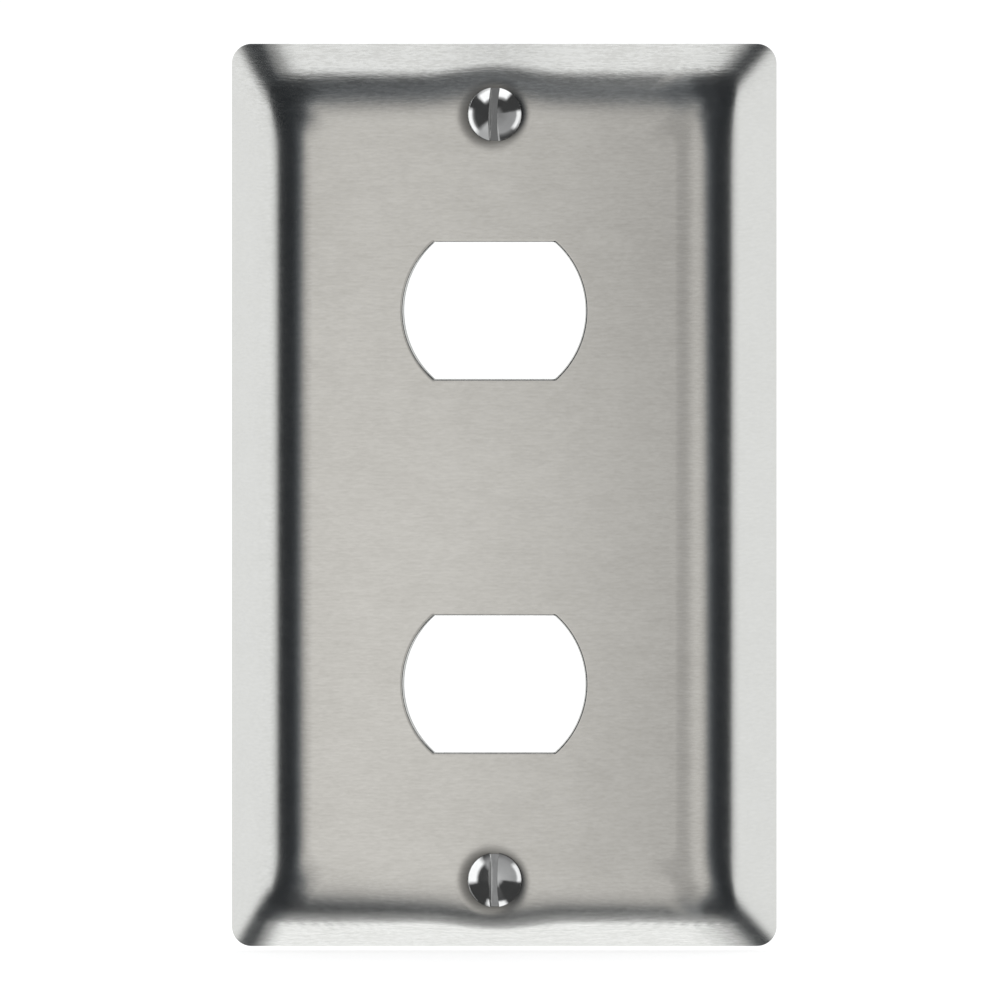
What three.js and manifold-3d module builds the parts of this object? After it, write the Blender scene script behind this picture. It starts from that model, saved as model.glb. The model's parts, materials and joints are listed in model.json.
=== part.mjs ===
// One-gang wall plate for two interchangeable devices, with its two captive slotted screws
// and their retaining washers. Millimetres. +X right, +Z up, the front face looks along -Y.
// Origin: the middle of the plate on the wall plane (y = 0), halfway between the two screw
// axes. Depths are measured forward from the wall, so y = -depth.
import * as THREE from 'three';
import { mergeVertices } from 'three/addons/utils/BufferGeometryUtils.js';
import Module from 'manifold-3d';

const { degToRad, clamp } = THREE.MathUtils;

// ---- driving dimensions -------------------------------------------------------------
const PLATE_W = 69.0;             // outline at the rim, X
const PLATE_H = 114.3;            // outline at the rim, Z (4.5 in)
const PLATE_DEPTH = 6.35;         // wall to front face (1/4 in)
const SHEET = 0.8;                // stainless sheet thickness
const ROLL_R = 12.5;              // outer radius of the rolled border
const FLANK = degToRad(44);       // slope of the straight flank that meets the wall
const CORNER_RIM_R = 2.5;         // plan corner radius at the rim
const CORNER_FACE_R = 1.5;        // plan corner radius where the roll meets the face
const TIGHT_ROLL_R = 2.4;         // beside a screw the border tightens to this roll ...
const TIGHT_FLANK = degToRad(58.7); // ... and this flank, so the screw sits on the flat face
const SWELL = 17.0;               // the tightening dies away this far to either side of a screw

const OPENING_D = 23.0;           // device opening: a circle ...
const OPENING_FLATS = 17.3;       // ... truncated by two horizontal flats this far apart
const OPENING_PITCH = 47.2;       // centre to centre, Z

const SCREW_PITCH = 96.84;        // 3 13/16 in between screw axes, Z
const HOLE_R = 2.1;               // clearance hole at the bottom of each dimple
const CONE_HALF = degToRad(41);   // 82 degree countersink
const MOUTH_R = 3.8808;           // where its cone would meet the face
const LIP_ROLL_R = 1.9;           // the sheet rolls into the cone over this radius

const HEAD_R = 3.42;              // slotted oval head
const HEAD_EDGE = 0.1;            // short cylindrical edge of the head
const HEAD_DOME = 1.14;           // dome height over that edge
const SEAT_GAP = 0.06;            // clearance between head and countersink, normal to the cone
const SLOT_W = 1.07;
const SLOT_DEPTH = 1.35;          // from the top of the dome
const SCREW_LENGTH = 12.7;        // head edge to tip (1/2 in)
const MAJOR_R = 1.7525;           // #6-32
const MINOR_R = 1.29;
const THREAD = 0.79375;           // 32 threads per inch
const TIP_CHAMFER = 0.55;         // along the axis
const TIP_INSET = 0.12;           // how far the chamfer narrows the tip, on the radius

const WASHER_R = 3.5;             // thin fibre washer that keeps the screw captive
const WASHER_HOLE_R = 1.8;
const WASHER_T = 0.6;
const CAPTIVE_TRAVEL = 3 * THREAD; // how far a screw can back out before the washer stops it
const STOP_GAP = 0.03;

// ---- derived dimensions -------------------------------------------------------------
const CONE_SLOPE = Math.tan(CONE_HALF);                 // radius gained per unit of depth
const CONE_WALL = SHEET / Math.cos(CONE_HALF);          // sheet measured across the axis
const SEAT_BOTTOM = PLATE_DEPTH - (MOUTH_R - HOLE_R) / CONE_SLOPE; // depth of dimple's bottom
const SEATED_R = HEAD_R + SEAT_GAP / Math.cos(CONE_HALF); // countersink radius at the head edge
const HEAD_DEPTH = SEAT_BOTTOM + (SEATED_R - HOLE_R) / CONE_SLOPE; // back of the head's edge
const WASHER_FRONT = SEAT_BOTTOM - CAPTIVE_TRAVEL - STOP_GAP;      // depth of its front face
const SCREW_Z = { upper: SCREW_PITCH / 2, lower: -SCREW_PITCH / 2 };
const OPENING_Z = [OPENING_PITCH / 2, -OPENING_PITCH / 2];

// ---- solid helpers ------------------------------------------------------------------
const wasm = await Module();
wasm.setup();

function toManifold(geometry) {
  // with only positions left, coincident vertices merge across seams
  const bare = geometry.clone();
  bare.deleteAttribute('normal');
  bare.deleteAttribute('uv');
  const merged = mergeVertices(bare, 1e-5);
  const index = merged.index.array;
  const triangles = [];
  for (let i = 0; i < index.length; i += 3) {
    const [a, b, c] = [index[i], index[i + 1], index[i + 2]];
    if (a !== b && b !== c && a !== c) triangles.push(a, b, c);
  }
  const solid = new wasm.Manifold(new wasm.Mesh({
    numProp: 3,
    vertProperties: new Float32Array(merged.attributes.position.array),
    triVerts: new Uint32Array(triangles),
  }));
  if (solid.volume() < 0) throw new Error('a profile is inside out');
  return solid;
}

function toGeometry(solid) {
  const mesh = solid.getMesh();
  const positions = new Float32Array(mesh.vertProperties);
  const geometry = new THREE.BufferGeometry();
  geometry.setAttribute('position', new THREE.BufferAttribute(positions, 3));
  geometry.setIndex(new THREE.BufferAttribute(new Uint32Array(mesh.triVerts), 1));
  geometry.computeVertexNormals();
  return geometry;
}

// A solid of revolution about the Y axis. The profile is a list of [radius, y] that either
// starts and ends on the axis or closes on its first point; it may run in either direction.
function turned(profile, segments) {
  let area = 0;
  profile.forEach(([r0, y0], i) => {
    const [r1, y1] = profile[(i + 1) % profile.length];
    area += r0 * y1 - r1 * y0;
  });
  const ordered = area > 0 ? profile : [...profile].reverse();
  return new THREE.LatheGeometry(ordered.map(([r, y]) => new THREE.Vector2(r, y)), segments);
}

// ---- plate surface ------------------------------------------------------------------
// The border in section: flat face, roll, straight flank down to the wall. 'tight' runs
// from 0 on the plain border to 1 in line with a screw.
function borderShape(tight) {
  const roll = ROLL_R + (TIGHT_ROLL_R - ROLL_R) * tight;
  const flank = FLANK + (TIGHT_FLANK - FLANK) * tight;
  const run = roll * Math.sin(flank);
  const drop = roll * (1 - Math.cos(flank));
  return { roll, flank, run, drop, width: run + (PLATE_DEPTH - drop) / Math.tan(flank) };
}
const PLAIN_BORDER = borderShape(0);
const FLANK_RUN = PLAIN_BORDER.width - PLAIN_BORDER.run;

// Insets from the outline at which the surface is sampled, from the rim inwards
const ROLL_ANGLES = [41.3, 38.5, 35.8, 33, 30.3, 27.5, 22, 16.5, 11, 5.5, 0]; // degrees
const ROLL_INSETS = ROLL_ANGLES.map(
  (angle) => PLAIN_BORDER.width - ROLL_R * Math.sin(degToRad(angle)),
);
const FRONT_INSETS = [0, FLANK_RUN * 0.5, FLANK_RUN, ...ROLL_INSETS];
const REAR_INSETS = [FLANK_RUN * 0.62, FLANK_RUN, ...ROLL_INSETS];

// depth of the front surface at an inset from the outline, x to the side of the screw axes
function frontDepth(inset, x) {
  const u = Math.abs(x) / SWELL;
  const border = borderShape(u < 1 ? Math.cos(u * Math.PI / 2) ** 2 : 0);
  const outward = border.width - inset;   // distance outwards from the edge of the flat face
  if (outward <= 0) return PLATE_DEPTH;
  if (outward <= border.run) {
    return PLATE_DEPTH - (border.roll - Math.sqrt(border.roll ** 2 - outward ** 2));
  }
  const flankDrop = (outward - border.run) * Math.tan(border.flank);
  return Math.max(0, PLATE_DEPTH - border.drop - flankDrop);
}

// The outline at any inset is a rounded rectangle, sampled at stations round it. Stations on
// the top and bottom ends have a fixed x near the screws, then a share of the straight
// length that remains.
const NEAR_X = [0, 1.3, 2.6, 3.9, 5.2, 6.6, 8.2, 10.2, 12.8, 16];
const LAST_NEAR_X = NEAR_X.at(-1);
const FAR_SHARES = [0.5, 1];
const CORNER_STEPS = 6;
const SIDE_STEPS = 4;

// from the middle of an end out to the side
function endStations(signZ) {
  const stops = [...NEAR_X.map((x) => ({ x })), ...FAR_SHARES.map((share) => ({ share }))];
  return stops.map((stop) => ({ kind: 'end', signZ, ...stop }));
}

// from an end round to the side; the arc's two ends belong to the straights
function cornerStations(signZ) {
  const stops = [];
  for (let i = 1; i < CORNER_STEPS; i++) {
    stops.push({ kind: 'corner', signZ, angle: (i / CORNER_STEPS) * Math.PI / 2 });
  }
  return stops;
}

// from top to bottom, height 1 to -1
function sideStations() {
  const stops = [];
  for (let i = 0; i <= SIDE_STEPS; i++) {
    stops.push({ kind: 'side', height: 1 - (2 * i) / SIDE_STEPS });
  }
  return stops;
}

// clockwise seen from the front, starting at the middle of the top end
function outlineStations() {
  const right = [
    ...endStations(1),
    ...cornerStations(1),
    ...sideStations(),
    ...cornerStations(-1).reverse(),
    ...endStations(-1).reverse(),
  ].map((station) => ({ ...station, signX: 1 }));
  // the left half mirrors the right, without its two stations at x = 0
  const left = right.slice(1, -1).reverse().map((station) => ({ ...station, signX: -1 }));
  return [...right, ...left];
}

function outlinePoint(inset, { kind, signX, signZ, x, share, height, angle }) {
  const halfW = PLATE_W / 2 - inset;
  const halfH = PLATE_H / 2 - inset;
  const towardsFace = clamp(inset / PLAIN_BORDER.width, 0, 1);
  const cornerR = CORNER_RIM_R + (CORNER_FACE_R - CORNER_RIM_R) * towardsFace;
  if (kind === 'end') {
    const along = x ?? LAST_NEAR_X + (halfW - cornerR - LAST_NEAR_X) * share;
    return [signX * along, signZ * halfH];
  }
  if (kind === 'side') return [signX * halfW, height * (halfH - cornerR)];
  return [
    signX * (halfW - cornerR + cornerR * Math.sin(angle)),
    signZ * (halfH - cornerR + cornerR * Math.cos(angle)),
  ];
}

// direction of the outline in the XZ plane
function outlineTangent({ kind, signX, signZ, angle }) {
  if (kind === 'end') return [1, 0];
  if (kind === 'side') return [0, 1];
  return [signX * Math.cos(angle), -signZ * Math.sin(angle)];
}

function frontPoint(inset, station) {
  const [x, z] = outlinePoint(inset, station);
  return new THREE.Vector3(x, -frontDepth(inset, x), z);
}

// the back of the sheet: the front point moved one sheet thickness along the normal
function rearPoint(inset, station) {
  const step = 0.02;   // for the finite differences
  const point = frontPoint(inset, station);
  const inward = frontPoint(inset + step, station)
    .sub(frontPoint(Math.max(0, inset - step), station));
  const [tangentX, tangentZ] = outlineTangent(station);
  const nextX = point.x + tangentX * step;
  const nextZ = point.z + tangentZ * step;
  const along = new THREE.Vector3(nextX, -frontDepth(inset, nextX), nextZ).sub(point);
  const normal = new THREE.Vector3().crossVectors(along, inward).normalize();
  if (normal.y > 0) normal.negate();
  return point.addScaledVector(normal, -SHEET);
}

// where the back surface reaches the wall plane, by bisection on the inset
function rearRim(station) {
  let low = 0;
  let high = 3;
  for (let i = 0; i < 40; i++) {
    const middle = (low + high) / 2;
    if (rearPoint(middle, station).y < 0) high = middle;
    else low = middle;
  }
  return rearPoint(high, station).setY(0);
}

// One ring per inset, from the centre of the front over the rim to the centre of the back.
// A lathe supplies the faces between rings and every vertex is then placed on its ring.
function plateShell() {
  const rings = [
    () => new THREE.Vector3(0, -PLATE_DEPTH, 0),
    ...[...FRONT_INSETS].reverse().map((inset) => (station) => frontPoint(inset, station)),
    rearRim,
    ...REAR_INSETS.map((inset) => (station) => rearPoint(inset, station)),
    () => new THREE.Vector3(0, -PLATE_DEPTH + SHEET, 0),
  ];
  const stations = outlineStations();
  const placeholders = rings.map((_, row) => new THREE.Vector2(1, row));
  const geometry = new THREE.LatheGeometry(placeholders, stations.length);
  const position = geometry.attributes.position;
  // LatheGeometry starts on +Z and turns towards +X, which is the stations' order
  for (let i = 0; i <= stations.length; i++) {
    const station = stations[i % stations.length];
    rings.forEach((ring, row) => {
      const { x, y, z } = ring(station);
      position.setXYZ(i * rings.length + row, x, y, z);
    });
  }
  return geometry;
}

// ---- plate features -----------------------------------------------------------------
function openingCutter(z) {
  const radius = OPENING_D / 2;
  const halfAngle = Math.asin(OPENING_FLATS / 2 / radius);
  const arcSteps = 14;
  const frontOverrun = 2;
  const points = [];
  for (const middle of [0, Math.PI]) {
    for (let i = 0; i <= arcSteps; i++) {
      const angle = middle - halfAngle + (2 * halfAngle * i) / arcSteps;
      points.push(new THREE.Vector2(radius * Math.cos(angle), radius * Math.sin(angle)));
    }
  }
  const cutter = new THREE.ExtrudeGeometry(
    new THREE.Shape(points),
    { depth: 6, bevelEnabled: false },
  );
  cutter.rotateX(-Math.PI / 2);   // the extrusion now runs along +Y
  cutter.translate(0, -PLATE_DEPTH - frontOverrun, z);
  return cutter;
}

const DIMPLE_SEGMENTS = 40;

// the cone of sheet pressed out behind the plate
function dimpleBack(z) {
  const top = PLATE_DEPTH - SHEET;
  const bottomR = HOLE_R + CONE_WALL;
  const topR = bottomR + (top - SEAT_BOTTOM) * CONE_SLOPE;
  return turned(
    [[0, -top], [topR, -top], [bottomR, -SEAT_BOTTOM], [0, -SEAT_BOTTOM]],
    DIMPLE_SEGMENTS,
  ).translate(0, 0, z);
}

// cutter for the rolled lip, the cone and the clearance hole
function countersink(z) {
  const frontOverrun = 1.5;
  const backOverrun = 2;
  const lipClearance = 0.01;   // lifts the start of the lip clear of the face
  const lipSteps = 6;
  // the lip's arc is tangent to the face and to the cone
  const lipTurn = Math.PI / 2 - CONE_HALF;
  const lipR = MOUTH_R + LIP_ROLL_R * Math.tan(lipTurn / 2);
  const profile = [
    [0, -PLATE_DEPTH - frontOverrun],
    [lipR, -PLATE_DEPTH - frontOverrun],
    [lipR, -PLATE_DEPTH - lipClearance],
  ];
  for (let i = 1; i <= lipSteps; i++) {
    const angle = (lipTurn * i) / lipSteps;
    profile.push([
      lipR - LIP_ROLL_R * Math.sin(angle),
      -PLATE_DEPTH + LIP_ROLL_R * (1 - Math.cos(angle)),
    ]);
  }
  profile.push(
    [HOLE_R, -SEAT_BOTTOM],
    [HOLE_R, -SEAT_BOTTOM + backOverrun],
    [0, -SEAT_BOTTOM + backOverrun],
  );
  return turned(profile, DIMPLE_SEGMENTS).translate(0, 0, z);
}

function wallPlate() {
  let body = toManifold(plateShell());
  for (const z of Object.values(SCREW_Z)) {
    body = body.add(toManifold(dimpleBack(z))).subtract(toManifold(countersink(z)));
  }
  for (const z of OPENING_Z) body = body.subtract(toManifold(openingCutter(z)));
  return toGeometry(body);
}

// ---- screws -------------------------------------------------------------------------
const TIP_Y = -HEAD_DEPTH + SCREW_LENGTH;
const DOME_BASE_Y = -(HEAD_DEPTH + HEAD_EDGE);
const DOME_TOP_Y = DOME_BASE_Y - HEAD_DOME;
const SHANK_START_Y = -HEAD_DEPTH + (HEAD_R - MINOR_R) / CONE_SLOPE;
const SHANK_END_Y = TIP_Y - TIP_CHAMFER;
const MARK = 1e-3;            // extra radius that marks the shank rows for the thread

function screwBlank() {
  const domeR = (HEAD_R ** 2 + HEAD_DOME ** 2) / (2 * HEAD_DOME);
  const domeSteps = 5;
  const profile = [];
  for (let i = 0; i <= domeSteps; i++) {
    const r = (HEAD_R * i) / domeSteps;
    profile.push([r, DOME_TOP_Y + domeR - Math.sqrt(domeR ** 2 - r ** 2)]);
  }
  profile.push([HEAD_R, -HEAD_DEPTH], [MINOR_R, SHANK_START_Y]);
  const shank = SHANK_END_Y - SHANK_START_Y;
  const rows = Math.round(shank / (THREAD / 4));
  for (let i = 1; i <= rows; i++) {
    profile.push([MINOR_R + MARK, SHANK_START_Y + (shank * i) / rows]);
  }
  profile.push([MINOR_R - TIP_INSET, TIP_Y], [0, TIP_Y]);
  return turned(profile, 24);
}

// moves the marked shank vertices out to a helical ridge
function raiseThread(geometry) {
  const startY = SHANK_START_Y + THREAD * 0.2;
  const fadeIn = THREAD * 0.8;   // length over which the ridge rises
  const fadeOut = 0.4;           // length over which it falls, ending ...
  const fadePast = 0.1;          // ... this far past the shank's end
  const crestGain = 1.15;        // steepens the ridge, whose crest is then cut flat
  const position = geometry.attributes.position;
  for (let i = 0; i < position.count; i++) {
    const x = position.getX(i);
    const y = position.getY(i);
    const z = position.getZ(i);
    const r = Math.hypot(x, z);
    const marked = Math.abs(r - MINOR_R - MARK) <= MARK / 2;
    if (!marked || y < startY - 1e-6) continue;
    const turns = y / THREAD - Math.atan2(x, z) / (2 * Math.PI);
    const phase = turns - Math.floor(turns);
    const ridge = Math.min(1, (1 - Math.abs(phase - 0.5) / 0.5) * crestGain);
    const fade = clamp((y - startY) / fadeIn, 0, 1)
      * clamp((SHANK_END_Y + fadePast - y) / fadeOut, 0, 1);
    const scale = (MINOR_R + (MAJOR_R - MINOR_R) * ridge * fade) / r;
    position.setXYZ(i, x * scale, y, z * scale);
  }
}

function captiveScrew() {
  const blank = screwBlank();
  raiseThread(blank);
  const overrun = 2;
  const slot = new THREE.BoxGeometry(SLOT_W, SLOT_DEPTH + overrun, 2 * HEAD_R + overrun);
  slot.translate(0, DOME_TOP_Y + SLOT_DEPTH - (SLOT_DEPTH + overrun) / 2, 0);
  return toGeometry(toManifold(blank).subtract(toManifold(slot)));
}

// ---- captive washers ----------------------------------------------------------------
function retainingWasher() {
  const frontY = -WASHER_FRONT;
  const backY = frontY + WASHER_T;
  return toGeometry(toManifold(turned([
    [WASHER_HOLE_R, frontY],
    [WASHER_R, frontY],
    [WASHER_R, backY],
    [WASHER_HOLE_R, backY],
    [WASHER_HOLE_R, frontY],
  ], 32)));
}

// ---- materials ----------------------------------------------------------------------
const brushedStainless = new THREE.MeshStandardMaterial({
  color: 0xbab8b2,
  roughness: 0.34,
  metalness: 1,
});
const polishedSteel = new THREE.MeshStandardMaterial({
  color: 0xd8d8d6,
  roughness: 0.1,
  metalness: 1,
});
const redFibre = new THREE.MeshStandardMaterial({
  color: 0x6e2e24,
  roughness: 0.8,
  metalness: 0,
});

// ---- assembly -----------------------------------------------------------------------
function piece(name, geometry, material) {
  const mesh = new THREE.Mesh(geometry, material);
  mesh.name = name;
  return mesh;
}

const assembly = new THREE.Group();
assembly.add(piece('wall_plate', wallPlate(), brushedStainless));

const screw = captiveScrew();
const washer = retainingWasher();
for (const [where, z] of Object.entries(SCREW_Z)) {
  const fastening = new THREE.Group();
  fastening.position.set(0, 0, z);
  fastening.add(piece(`${where}_screw`, screw.clone(), polishedSteel));
  fastening.add(piece(`${where}_retaining_washer`, washer.clone(), redFibre));
  assembly.add(fastening);
}

export default assembly;
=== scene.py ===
"""Looks for the one-gang stainless wall plate: the pressed plate, its two slotted screws and
their fibre washers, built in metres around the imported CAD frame."""
import bpy
import json
import math
import numpy as np
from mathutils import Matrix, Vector
from mathutils.geometry import delaunay_2d_cdt

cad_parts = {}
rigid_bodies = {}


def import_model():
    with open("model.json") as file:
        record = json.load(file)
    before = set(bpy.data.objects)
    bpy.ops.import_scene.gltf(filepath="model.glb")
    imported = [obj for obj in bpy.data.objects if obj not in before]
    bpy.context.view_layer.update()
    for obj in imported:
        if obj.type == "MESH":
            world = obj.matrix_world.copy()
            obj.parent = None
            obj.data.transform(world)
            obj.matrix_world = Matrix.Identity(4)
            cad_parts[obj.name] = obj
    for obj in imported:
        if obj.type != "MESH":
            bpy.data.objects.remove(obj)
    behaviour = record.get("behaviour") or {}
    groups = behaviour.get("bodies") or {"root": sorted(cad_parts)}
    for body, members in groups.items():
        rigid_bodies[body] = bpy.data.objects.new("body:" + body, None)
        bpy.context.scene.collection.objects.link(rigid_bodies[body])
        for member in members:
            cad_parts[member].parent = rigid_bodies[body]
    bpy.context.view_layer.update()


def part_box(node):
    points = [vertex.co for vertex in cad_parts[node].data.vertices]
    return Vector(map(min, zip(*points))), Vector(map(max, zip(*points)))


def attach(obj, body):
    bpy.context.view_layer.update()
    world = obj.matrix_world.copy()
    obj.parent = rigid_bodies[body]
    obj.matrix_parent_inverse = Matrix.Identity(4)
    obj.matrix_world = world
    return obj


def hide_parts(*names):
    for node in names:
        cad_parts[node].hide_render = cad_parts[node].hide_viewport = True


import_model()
MM = 0.001

# ---- sizes, taken from the frame --------------------------------------------------------
plate_lo, plate_hi = (np.array(v) * 1000 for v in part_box("wall_plate"))
screw_lo, screw_hi = (np.array(v) * 1000 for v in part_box("upper_screw"))
wash_lo, wash_hi = (np.array(v) * 1000 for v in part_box("upper_retaining_washer"))
HALF_W, HALF_H = plate_hi[0], plate_hi[2]
DEPTH = -plate_lo[1]
SCREW_Z = (wash_lo[2] + wash_hi[2]) / 2
TIP_Y = screw_hi[1]

SHEET = 0.8
ROLL_R, FLANK = 12.5, math.radians(44)
TIGHT_R, TIGHT_FLANK, SWELL = 2.4, math.radians(58.7), 17.0
CORNER_RIM, CORNER_FACE = 2.5, 1.5
ROLL_RUN = ROLL_R * math.sin(FLANK)
FLANK_RUN = (DEPTH - ROLL_R * (1 - math.cos(FLANK))) / math.tan(FLANK)
BORDER = ROLL_RUN + FLANK_RUN

OPEN_R, OPEN_HALF, OPEN_Z = 11.5, 8.65, 23.6
CONE_HALF = math.radians(41)
CONE = math.tan(CONE_HALF)
HOLE_R, MOUTH_R, LIP_ROLL = 2.1, 3.8808, 1.9
TURN = math.pi / 2 - CONE_HALF
LIP_OUT = MOUTH_R + LIP_ROLL * math.tan(TURN / 2)
LIP_IN = LIP_OUT - LIP_ROLL * math.sin(TURN)
LIP_DEPTH = DEPTH - LIP_ROLL * (1 - math.cos(TURN))
SEAT_BOTTOM = DEPTH - (MOUTH_R - HOLE_R) / CONE
WALL = SHEET / math.cos(CONE_HALF)

HEAD_R, HEAD_EDGE, HEAD_DOME = 3.42, 0.1, 1.14
HEAD_DEPTH = TIP_Y * -1 + 12.7
SLOT_W, SLOT_DEPTH = 1.07, 1.35
MAJOR, MINOR, PITCH = 1.7525, 1.29, 0.79375
DOME_R = (HEAD_R ** 2 + HEAD_DOME ** 2) / (2 * HEAD_DOME)


# ---- plate surface as a depth over the plan ---------------------------------------------
def corner(w):
    return CORNER_RIM + (CORNER_FACE - CORNER_RIM) * np.clip(w / BORDER, 0, 1)


def inset(x, z):
    """How far in from the outline each plan point lies, along the family of rounded rectangles."""
    lo, hi = np.full(np.shape(x), -1.0), np.full(np.shape(x), BORDER + 7.0)
    ax, az = np.abs(x), np.abs(z)
    for _ in range(34):
        w = (lo + hi) / 2
        c = corner(w)
        qx, qz = ax - (HALF_W - w - c), az - (HALF_H - w - c)
        d = np.hypot(np.maximum(qx, 0), np.maximum(qz, 0)) + np.minimum(np.maximum(qx, qz), 0) - c
        lo, hi = np.where(d < 0, w, lo), np.where(d < 0, hi, w)
    return (lo + hi) / 2


def depth(x, z):
    """The border rolls over more tightly in line with a screw; each screw's mouth rolls into its cone."""
    w = inset(x, z)
    u = np.abs(x) / SWELL
    tight = np.where(u < 1, np.cos(np.minimum(u, 1) * math.pi / 2) ** 2, 0)
    roll = ROLL_R + (TIGHT_R - ROLL_R) * tight
    flank = FLANK + (TIGHT_FLANK - FLANK) * tight
    run, drop = roll * np.sin(flank), roll * (1 - np.cos(flank))
    s = run + (DEPTH - drop) / np.tan(flank) - w
    d = np.where(s <= 0, DEPTH,
                 np.where(s <= run, DEPTH - (roll - np.sqrt(np.maximum(roll ** 2 - s ** 2, 1e-9))),
                          DEPTH - drop - (s - run) * np.tan(flank)))
    r = np.hypot(x, np.abs(z) - SCREW_Z)
    q = np.clip(LIP_OUT - r, 0, LIP_ROLL * math.sin(TURN))
    return d - (LIP_ROLL - np.sqrt(LIP_ROLL ** 2 - q * q))


def sheen(x, z):
    """Normals that shade the front: pressing leaves the roll flowing past the screw, moved out a little, with a
    soft shallow roll into the mouth, and the mitres between the borders are blended over a few millimetres."""
    u = np.abs(x)
    near = np.where(u < 9, np.cos(np.minimum(u / 9, 1) * math.pi / 2) ** 2, 0)
    s = np.clip(BORDER - inset(x, z) - 0.75 * near, 0, ROLL_RUN)
    slope = s / np.sqrt(ROLL_R ** 2 - s * s)
    easing = np.where(u < 12, np.cos(np.minimum(u / 12, 1) * math.pi / 2) ** 2, 0) * np.where(z > 0, 0.06, 0.004)
    slope = slope * (1 - easing)
    w = inset(x, z)
    inner = np.clip((w - 5.5) / 3.0, 0, 1)
    span = np.where(z > 0, 9.5, 7.4) + np.where(x > 0, 0.8, 0.0)
    span = span + (4.2 - span) * inner * inner * (3 - 2 * inner)
    bend = (0.75 - 0.33 * w) * (1 - inner)
    c = np.clip(((HALF_W - np.abs(x)) - (HALF_H - np.abs(z)) - bend) / span + np.where(x < 0, 0.24, -0.04) * (1 - inner), -1, 1)
    turn = math.pi / 4 * (1 + 1.2 * c - 0.2 * c ** 3)
    dx = -slope * np.sign(x) * np.cos(turn)
    dz = -slope * np.sign(z) * np.sin(turn)
    rz = np.where(z > 0, z - SCREW_Z, z + SCREW_Z)
    r = np.hypot(x, rz)
    lip = np.tan(np.radians(9 * np.clip((4.9 - r) / 1.3, 0, 1)))
    dx = dx + lip * x / np.maximum(r, 1e-6)
    dz = dz + lip * rz / np.maximum(r, 1e-6)
    n = np.stack([-dx, -np.ones_like(dx), -dz], -1)
    return n / np.linalg.norm(n, axis=-1, keepdims=True)


def front(x, z):
    """Points and outward normals of the front surface."""
    e = 0.02
    d = depth(x, z)
    dx = (depth(x + e, z) - depth(x - e, z)) / (2 * e)
    dz = (depth(x, z + e) - depth(x, z - e)) / (2 * e)
    # at the bottom of the lip the slope stays that of the cone
    zc = np.where(z > 0, SCREW_Z, -SCREW_Z)
    r = np.hypot(x, z - zc)
    low = r < LIP_IN + 0.03
    slope = math.tan(TURN)
    dx = np.where(low, slope * x / np.maximum(r, 1e-6), dx)
    dz = np.where(low, slope * (z - zc) / np.maximum(r, 1e-6), dz)
    n = np.stack([-dx, -np.ones_like(d), -dz], -1)
    n /= np.linalg.norm(n, axis=-1, keepdims=True)
    return np.stack([x, -d, z], -1), n


def rear(x, z):
    p, n = front(x, z)
    return p - n * SHEET, -n


# ---- plan loops -------------------------------------------------------------------------
def outline(w):
    """Plan points of the rounded rectangle at inset w, clockwise from the top middle. w may be an array, one per station."""
    st = STATIONS
    w = np.broadcast_to(np.asarray(w, float), (len(st),))
    a, b, c = HALF_W - w, HALF_H - w, corner(w)
    out = np.zeros((len(st), 2))
    for i, (kind, sx, sz, v) in enumerate(st):
        ai, bi, ci = a[i], b[i], c[i]
        if kind == "near":
            out[i] = (sx * v, sz * bi)
        elif kind == "far":
            out[i] = (sx * (NEAR + (ai - ci - NEAR) * v), sz * bi)
        elif kind == "side":
            out[i] = (sx * ai, v * (bi - ci))
        else:
            t = v * math.pi / 2
            out[i] = (sx * (ai - ci + ci * math.sin(t)), sz * (bi - ci + ci * math.cos(t)))
    return out


NEAR = 9.0
def stations(step, far, arc, side):
    near = list(np.arange(step, NEAR + 1e-6, step))
    fars = list((np.arange(far) + 1) / far)
    half = [("near", v) for v in near] + [("far", v) for v in fars]
    st = [("near", 1, 1, 0.0)] + [(k, 1, 1, v) for k, v in half]
    st += [("arc", 1, 1, i / arc) for i in range(1, arc)]
    st += [("side", 1, 0, 1 - 2 * i / side) for i in range(side + 1)]
    st += [("arc", 1, -1, 1 - i / arc) for i in range(1, arc)]
    st += [(k, 1, -1, v) for k, v in reversed(half)] + [("near", 1, -1, 0.0)]
    st += [(k, -1, -1, v) for k, v in half]
    st += [("arc", -1, -1, i / arc) for i in range(1, arc)]
    st += [("side", -1, 0, -1 + 2 * i / side) for i in range(side + 1)]
    st += [("arc", -1, 1, 1 - i / arc) for i in range(1, arc)]
    st += [(k, -1, 1, v) for k, v in reversed(half)]
    return st


STATIONS = stations(0.5, 12, 18, 48)


def opening_outline(zc, off):
    """The device opening grown by off: circle arcs, two flats and small corner radii."""
    rc = 0.35
    # the corner circle is tangent inside to both the big circle and the flat
    zf = OPEN_HALF - rc
    xf = math.sqrt((OPEN_R - rc) ** 2 - zf ** 2)
    a0 = math.atan2(zf, xf)
    pts = []
    def arc(cx, cz, r, t0, t1, n):
        for i in range(n):
            t = t0 + (t1 - t0) * i / n
            pts.append((cx + (r + off) * math.cos(t), cz + (r + off) * math.sin(t)))
    arc(0, 0, OPEN_R, -a0, a0, 72)
    arc(xf, zf, rc, a0, math.pi / 2, 7)
    for i in range(24):
        pts.append((xf - 2 * xf * i / 24, OPEN_HALF + off))
    arc(-xf, zf, rc, math.pi / 2, math.pi - a0, 7)
    arc(0, 0, OPEN_R, math.pi - a0, math.pi + a0, 72)
    arc(-xf, -zf, rc, math.pi + a0, 1.5 * math.pi, 7)
    for i in range(24):
        pts.append((-xf + 2 * xf * i / 24, -OPEN_HALF - off))
    arc(xf, -zf, rc, 1.5 * math.pi, 2 * math.pi - a0, 7)
    return np.array(pts) + np.array([0, zc])


def circle(zc, r, n=112):
    t = np.arange(n) * 2 * math.pi / n
    return np.stack([r * np.cos(t), zc + r * np.sin(t)], -1)


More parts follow.
